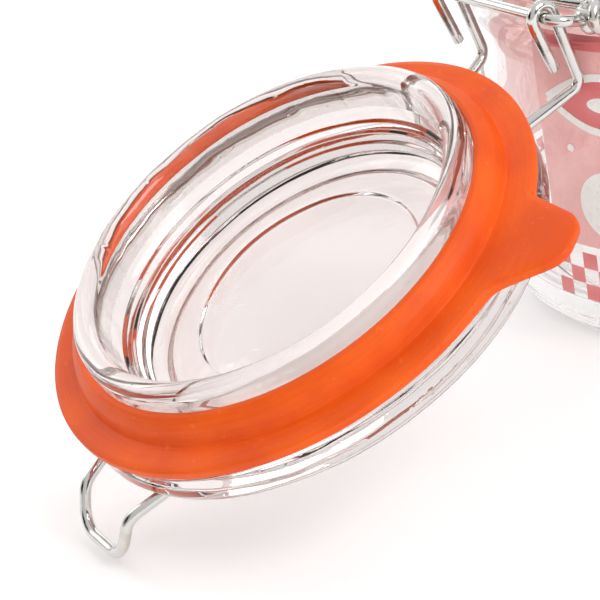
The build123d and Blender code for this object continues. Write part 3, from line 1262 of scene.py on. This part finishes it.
@dataclass
class NeckWires:
    """The ring in the neck groove with its ears and latch eyes, and the hinge yoke."""

    layout: Layout
    steel: bpy.types.Material
    ear_angle: float = 19.5
    ear_reach: float = 4.7
    ear_width: float = 7.4
    yoke_width: float = 36.4
    eye_spacing: float = 40.0
    eye_gap: float = 0.12
    bend: float = 2.4

    def _ring(self) -> None:
        """The closed ring round the neck."""
        layout = self.layout
        path = [
            Vector((layout.neck_ring * cos(a), layout.neck_ring * sin(a), layout.neck_z))
            for a in (2 * pi * i / 180 for i in range(180))
        ]
        Wire("neck_ring_wire", path, self.steel, layout.wire / 2, closed=True).fit(Body.JAR, "neck_ring")

    def _ear(self, side: int) -> Vector:
        """One ear, bent out of the ring for the yoke's eye.

        Args:
            side: 1 or -1, for the +X and the -X side.

        Returns:
            The middle of the ear's straight stretch.
        """
        layout = self.layout
        out = Vector((side * sin(radians(self.ear_angle)), cos(radians(self.ear_angle)), 0))
        along = Vector((out.y, -out.x, 0))
        half = self.ear_width / 2
        root = sqrt(layout.neck_ring**2 - (half + 1) ** 2)
        reach = layout.neck_ring + self.ear_reach
        level = Vector((0, 0, layout.neck_z))
        corners = [
            out * root - along * (half + 1),
            out * reach - along * half,
            out * reach + along * half,
            out * root + along * (half + 1),
        ]
        path = bent([corner + level for corner in corners], [1.8, 1.8], 9.0)
        label = "right" if side > 0 else "left"
        Wire(f"neck_ear_{label}", path, self.steel, layout.wire / 2).fit(Body.JAR)
        return out * reach + level

    def _latch_eye(self, side: int) -> None:
        """One front eye: a coil round the lever's pin, a stub and a foot on the ring.

        Args:
            side: 1 or -1, for the +X and the -X side.
        """
        layout = self.layout
        x = side * self.eye_spacing / 2
        radius = layout.wire + self.eye_gap
        centre = Vector((x, layout.pivot.y, layout.pivot.z))
        coil = eye_coil(centre, Vector((side, 0, 0)), Vector((0, 1, 0)), radius, 1.0, layout.wire * 0.55)
        root_y = -sqrt(layout.neck_ring**2 - x**2)
        foot = Vector((coil[0].x, root_y, layout.neck_z))
        path = [foot] + coil
        label = "right" if side > 0 else "left"
        Wire(f"latch_eye_{label}", path, self.steel, layout.wire / 2).fit(Body.JAR)

    def _yoke(self, ears: dict[int, Vector]) -> None:
        """The hinge yoke: bar, arms and an eye coiled round each ear.

        Args:
            ears: The middle of each ear's straight stretch, by side.
        """
        layout = self.layout
        radius = layout.wire + self.eye_gap
        ends = {}
        for side in (1, -1):
            out = Vector((ears[side].x, ears[side].y, 0)).normalized()
            along = Vector((out.y, -out.x, 0)) * side
            coil = eye_coil(ears[side], along, out, radius, 1.25, layout.wire * 1.02)
            ends[side] = coil
        corners = [
            ends[1][0],
            Vector((self.yoke_width / 2, layout.hinge.y, layout.hinge.z)),
            Vector((-self.yoke_width / 2, layout.hinge.y, layout.hinge.z)),
            ends[-1][0],
        ]
        middle = bent(corners, [self.bend, self.bend], 8.0)
        path = list(reversed(ends[1]))[:-1] + middle + ends[-1][1:]
        Wire("hinge_yoke_wire", path, self.steel, layout.wire / 2).fit(Body.JAR, "hinge_yoke")

    def build(self) -> None:
        """Makes the ring, the ears, the latch eyes and the yoke."""
        self._ring()
        ears = {side: self._ear(side) for side in (1, -1)}
        for side in (1, -1):
            self._latch_eye(side)
        self._yoke(ears)


@dataclass
class LatchLever:
    """The lever: pins, arms, bar over the tongue and thumb handle, in one bent wire."""

    layout: Layout
    steel: bpy.types.Material
    pin_x: float = 22.8
    arm_x: float = 17.2
    handle_x: float = 11.0
    rise_y: float = 1.4
    bar_y: float = 44.5
    bar_gap: float = 0.35
    knee: float = 3.5
    front_y: float = 59.0
    end_y: float = 63.4
    end_z: float = 3.0
    bend: float = 2.4
    corner: float = 4.5

    def build(self) -> None:
        """Makes the lever in its open position."""
        layout = self.layout
        pivot = layout.pivot
        bar_z = layout.seal_z + layout.lid_ring_height + layout.wire + self.bar_gap
        half = [
            Vector((self.pin_x, pivot.y, pivot.z)),
            Vector((self.arm_x, pivot.y, pivot.z)),
            Vector((self.arm_x, pivot.y + self.rise_y, bar_z - self.knee)),
            Vector((self.arm_x, -self.bar_y, bar_z)),
            Vector((self.handle_x, -self.bar_y, bar_z)),
            Vector((self.handle_x, -self.front_y, bar_z)),
            Vector((self.handle_x, -self.end_y, pivot.z + self.end_z)),
        ]
        points = half + mirrored(half)
        bends = [self.bend] * 5
        path = bent(points, bends + [self.corner] * 2 + bends, 8.0)
        placed = [layout.lever @ point for point in path]
        Wire("latch_lever_wire", placed, self.steel, layout.wire / 2).fit(Body.LEVER, "latch_lever")


@dataclass
class Transfer:
    """The fired decoration on the jar: checks, a field with a braid, and blank medallions."""

    layout: Layout
    outline: list[Pair]
    red: bpy.types.Material
    pink: bpy.types.Material
    white: bpy.types.Material
    start: float = 91.0
    sweep: float = 316.0
    lift: float = 0.06
    check: float = 3.4
    check_rows: int = 3
    check_low: float = 8.6
    field: Pair = (20.4, 60.2)
    band: Pair = (60.2, 62.6)
    braid_height: float = 50.0
    braid_rise: float = 5.4
    braid_length: float = 25.0
    bead_height: float = 40.6
    medallion: Pair = (7.4, 7.2)
    medallion_height: float = 29.6
    medallion_turn: float = 66.0
    medallion_start: float = 17.0
    line_width: float = 1.5
    eye: Pair = (3.4, 1.5)
    bead: float = 1.3
    dot: float = 0.8
    margin: float = 3.0

    def _radius(self, z: float) -> float:
        """The radius of the glass's outer surface.

        Args:
            z: The height.

        Returns:
            The radius there.
        """
        outer = [(r, high) for r, high in self.outline if r > self.layout.rim_radius - 2.0]
        for (r0, z0), (r1, z1) in zip(outer, outer[1:]):
            if z0 <= z <= z1 and z1 > z0:
                return r0 + (r1 - r0) * (z - z0) / (z1 - z0)
        return self.layout.body_radius

    def _patch(self, name: str, loops: list[list[Pair]], ink: bpy.types.Material, layer: int) -> None:
        """A thin printed layer wrapped round the jar.

        Args:
            name: The piece's name.
            loops: Its faces as lists of (angle, height) in radians and millimetres.
            ink: Its material.
            layer: How many layers lie under it.
        """
        verts: list[Vector] = []
        faces: list[list[int]] = []
        known: dict[tuple[int, int], int] = {}
        for loop in loops:
            face = []
            for angle, z in loop:
                key = (round(angle * 1e5), round(z * 1e4))
                if key not in known:
                    known[key] = len(verts)
                    radius = self._radius(z) + self.lift * (1 + layer)
                    verts.append(Vector((radius * cos(angle), radius * sin(angle), z)) * MM)
                face.append(known[key])
            faces.append(list(dict.fromkeys(face)))
        attach(mesh_object(name, verts, faces, ink), Body.JAR, Slot.JAR_GLASS)

    def _band(self, low: float, high: float) -> list[list[Pair]]:
        """Faces of a band over the whole sweep of the decoration.

        Args:
            low: Its lower height.
            high: Its upper height.

        Returns:
            The faces.
        """
        steps = ceil(self.sweep)
        rows = ceil((high - low) / 2.0)
        first, turn = radians(self.start), radians(self.sweep) / steps
        faces = []
        for row in range(rows):
            z0, z1 = low + (high - low) * row / rows, low + (high - low) * (row + 1) / rows
            for i in range(steps):
                a, b = first + turn * i, first + turn * (i + 1)
                faces.append([(a, z0), (b, z0), (b, z1), (a, z1)])
        return faces

    def _oval(
        self, angle: float, z: float, size: Pair, steps: int = 40, rings: int = 3
    ) -> list[list[Pair]]:
        """Faces of an oval.

        Args:
            angle: Where its middle is round the jar, in radians.
            z: The height of its middle.
            size: Its half width and half height.
            steps: Corners round its edge.
            rings: Rings of faces from the middle to the edge.

        Returns:
            The faces.
        """
        wide = size[0] / self.layout.body_radius
        faces = []
        for ring in range(rings):
            for i in range(steps):
                spots = [
                    (share / rings, 2 * pi * turn / steps)
                    for share, turn in ((ring, i), (ring + 1, i), (ring + 1, i + 1), (ring, i + 1))
                ]
                faces.append([(angle + s * wide * cos(t), z + s * size[1] * sin(t)) for s, t in spots])
        return faces

    def _stroke(self, path: Sequence[Pair], width: float) -> list[list[Pair]]:
        """Faces of a painted line.

        Args:
            path: Its middle as (angle, height).
            width: Its width in millimetres.

        Returns:
            The faces.
        """
        radius = self.layout.body_radius
        rails = []
        for index, (angle, z) in enumerate(path):
            before, after = path[max(index - 1, 0)], path[min(index + 1, len(path) - 1)]
            du, dz = (after[0] - before[0]) * radius, after[1] - before[1]
            scale = width / 2 / hypot(du, dz)
            rails.append((
                (angle - dz * scale / radius, z + du * scale),
                (angle + dz * scale / radius, z - du * scale),
            ))
        return [[b[0], b[1], a[1], a[0]] for a, b in zip(rails, rails[1:])]

    def _checks(self) -> list[list[Pair]]:
        """The chequered border.

        Returns:
            Its faces.
        """
        columns = round(radians(self.sweep) * self.layout.body_radius / self.check)
        width = radians(self.sweep) / columns
        faces = []
        for row in range(self.check_rows):
            low = self.check_low + row * self.check
            high = low + self.check
            for i in range(row % 2, columns, 2):
                a = radians(self.start) + i * width
                for left, right in ((a, a + width / 2), (a + width / 2, a + width)):
                    faces.append([(left, low), (right, low), (right, high), (left, high)])
        return faces

    def _braid(self) -> tuple[list[list[Pair]], list[list[Pair]]]:
        """Two crossing waves and the eyes between them, as painted faces.

        Returns:
            The faces of the white lines and the faces of the filled eyes.
        """
        first, turn = radians(self.start + self.margin), radians(self.sweep - 2 * self.margin)
        eyes = round(turn * self.layout.body_radius / self.braid_length)
        steps = eyes * 24
        lines, fill = [], []
        places = [(first + turn * i / steps, sin(pi * eyes * i / steps)) for i in range(steps + 1)]
        for way in (1, -1):
            wave = [(angle, self.braid_height + way * self.braid_rise * rise) for angle, rise in places]
            lines += self._stroke(wave, self.line_width)
        for (a, rise_a), (b, rise_b) in zip(places, places[1:]):
            high_a, high_b = abs(rise_a) * self.braid_rise, abs(rise_b) * self.braid_rise
            middle = self.braid_height
            fill.append([(a, middle - high_a), (b, middle - high_b), (b, middle), (a, middle)])
            fill.append([(a, middle), (b, middle), (b, middle + high_b), (a, middle + high_a)])
        for eye in range(eyes):
            angle = first + turn * (eye + 0.5) / eyes
            lines += self._oval(angle, self.braid_height, self.eye, 24)
            lines += self._oval(angle, self.bead_height, (self.bead, self.bead), 16, 1)
            for side in (-1, 1):
                aside = angle + side * self.braid_length / 3 / self.layout.body_radius
                lines += self._oval(aside, self.bead_height, (self.dot, self.dot), 12, 1)
        return lines, fill

    def build(self) -> None:
        """Makes the decoration."""
        self._patch("print_checks", self._checks(), self.red, 0)
        self._patch("print_field", self._band(*self.field), self.pink, 0)
        self._patch("print_top_band", self._band(*self.band), self.red, 0)
        lines, fill = self._braid()
        self._patch("print_braid_fill", fill, self.red, 1)
        self._patch("print_braid", lines, self.white, 2)
        ovals = []
        for index in range(int(self.sweep / self.medallion_turn)):
            turn = radians(self.start + self.medallion_start + index * self.medallion_turn)
            ovals += self._oval(turn, self.medallion_height, self.medallion)
        self._patch("print_medallions", ovals, self.white, 1)


@dataclass(frozen=True)
class Lamp:
    """A square softbox, with its place and side in metres and its power in watts."""

    name: str
    at: Triple
    size: float
    watts: float
    colour: Triple = (1.0, 1.0, 1.0)


@dataclass
class Studio:
    """Floor, lights, surroundings and camera."""

    camera_at: Triple = (-0.2535, 0.2418, 0.1734)
    aim: Triple = (-0.0038, 0.1110, 0.0328)
    roll: float = 11.5
    lens: float = 108.0
    room_light: float = 0.97
    card_light: float = 0.03
    cards: float = 3.0
    card_turn: float = 0.6
    far_side_dim: float = 0.28
    backdrop: float = 1.1
    sky_colour: Triple = (1.0, 0.995, 0.99)
    floor_half: float = 4.0
    floor_colour: Triple = (0.95, 0.95, 0.95)
    near_glow: Triple = (0.15, 0.15, 0.15)
    far_glow: Triple = (0.5, 0.5, 0.5)
    lamp_aim: Triple = (0.0, 0.06, 0.04)
    lamps: tuple[Lamp, ...] = (
        Lamp("key_softbox", (-0.8, -0.15, 0.8), 0.6, 6.0),
        Lamp("side_softbox", (0.9, 0.5, 0.6), 0.5, 1.2, (1.0, 0.97, 0.94)),
        Lamp("back_softbox", (0.9, -0.6, 0.5), 0.6, 2.0),
    )

    def _floor(self) -> None:
        """A wide pale floor that glows faintly, and more so far away, to meet the backdrop."""
        kit = Finish("pale_floor")
        away = (kit.place() * (1.0, 1.0, 0.0)).length()
        paint = kit.principled(
            Base_Color=self.floor_colour,
            Roughness=0.6,
            Emission_Color=kit.blend(away.ramp(0.1, 1.4), self.near_glow, self.far_glow),
            Emission_Strength=1.0,
        )
        half = self.floor_half
        corners = [(-half, -half, 0), (half, -half, 0), (half, half, 0), (-half, half, 0)]
        floor = mesh_object("floor", corners, [(0, 1, 2, 3)], kit.finish(paint))

    def _surroundings(self) -> None:
        """A soft pale room with darker cards round it, which the glass and the wires mirror."""
        world = bpy.data.worlds.new("studio")
        bpy.context.scene.world = world
        world.use_nodes = True
        kit = Kit(world.node_tree)
        x, y, z = kit.place("Generated").parts()
        cards = (x.angle(y) * self.cards + self.card_turn).sine().ramp(0.0, 0.5)
        cards = cards * z.ramp(0.1, 0.2) * (1.0 - z.ramp(0.5, 0.75))
        light = self.room_light - cards * (self.room_light - self.card_light)
        light = light * (1.0 - y.ramp(-0.3, 0.9) * self.far_side_dim)
        seen = kit.node("ShaderNodeLightPath", output="Is Camera Ray")
        strength = light * (1.0 - seen) + seen * self.backdrop
        sky = kit.node("ShaderNodeBackground", sockets={"Color": self.sky_colour, "Strength": strength})
        kit.raw("ShaderNodeOutputWorld", sockets={"Surface": sky})

    def _softbox(self, lamp: Lamp) -> None:
        """Hangs a softbox aimed at the jar.

        Args:
            lamp: The softbox.
        """
        light = bpy.data.lights.new(lamp.name, "AREA")
        light.size = lamp.size
        light.energy = lamp.watts
        light.color = lamp.colour
        made = bpy.data.objects.new(lamp.name, light)
        made.location = lamp.at
        aim = Vector(self.lamp_aim) - Vector(lamp.at)
        made.rotation_euler = aim.to_track_quat("-Z", "Y").to_euler()
        bpy.context.scene.collection.objects.link(made)

    def _camera(self) -> None:
        """The camera."""
        data = bpy.data.cameras.new("camera")
        data.lens = self.lens
        data.sensor_width = 36.0
        data.clip_start = 0.01
        made = bpy.data.objects.new("camera", data)
        at, aim = Vector(self.camera_at), Vector(self.aim)
        look = (aim - at).to_track_quat("-Z", "Y").to_matrix().to_4x4()
        made.matrix_world = Matrix.Translation(at) @ look @ Matrix.Rotation(radians(-self.roll), 4, "Z")
        bpy.context.scene.collection.objects.link(made)
        bpy.context.scene.camera = made

    def build(self) -> None:
        """Sets up the studio."""
        self._floor()
        self._surroundings()
        for lamp in self.lamps:
            self._softbox(lamp)
        self._camera()
        bpy.context.scene.view_settings.view_transform = "Standard"


def main() -> None:
    """Builds the studio, then the glass, seal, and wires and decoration."""
    logging.basicConfig(level=logging.INFO, format="%(message)s")
    Studio().build()
    layout = Layout()
    steel = DrawnWire().build()
    jar = Jar(layout, ClearGlass("jar_clear_glass", (0.955, 0.94, 0.935)).build())
    jar.build()
    Lid(layout, ClearGlass("lid_clear_glass", ripple=0.0002).build()).build()
    Seal(layout, SealRubber(layout.lid_place()).build()).build()
    LidWire(layout, steel).build()
    NeckWires(layout, steel).build()
    LatchLever(layout, steel).build()
    Transfer(
        layout,
        jar.outline(),
        FiredInk("ink_red", (0.78, 0.17, 0.17), 0.97).build(),
        FiredInk("ink_pink", (0.9, 0.46, 0.44), 0.94).build(),
        FiredInk("ink_white", (0.93, 0.9, 0.87), 1.0).build(),
    ).build()


if __name__ == "__main__":
    main()
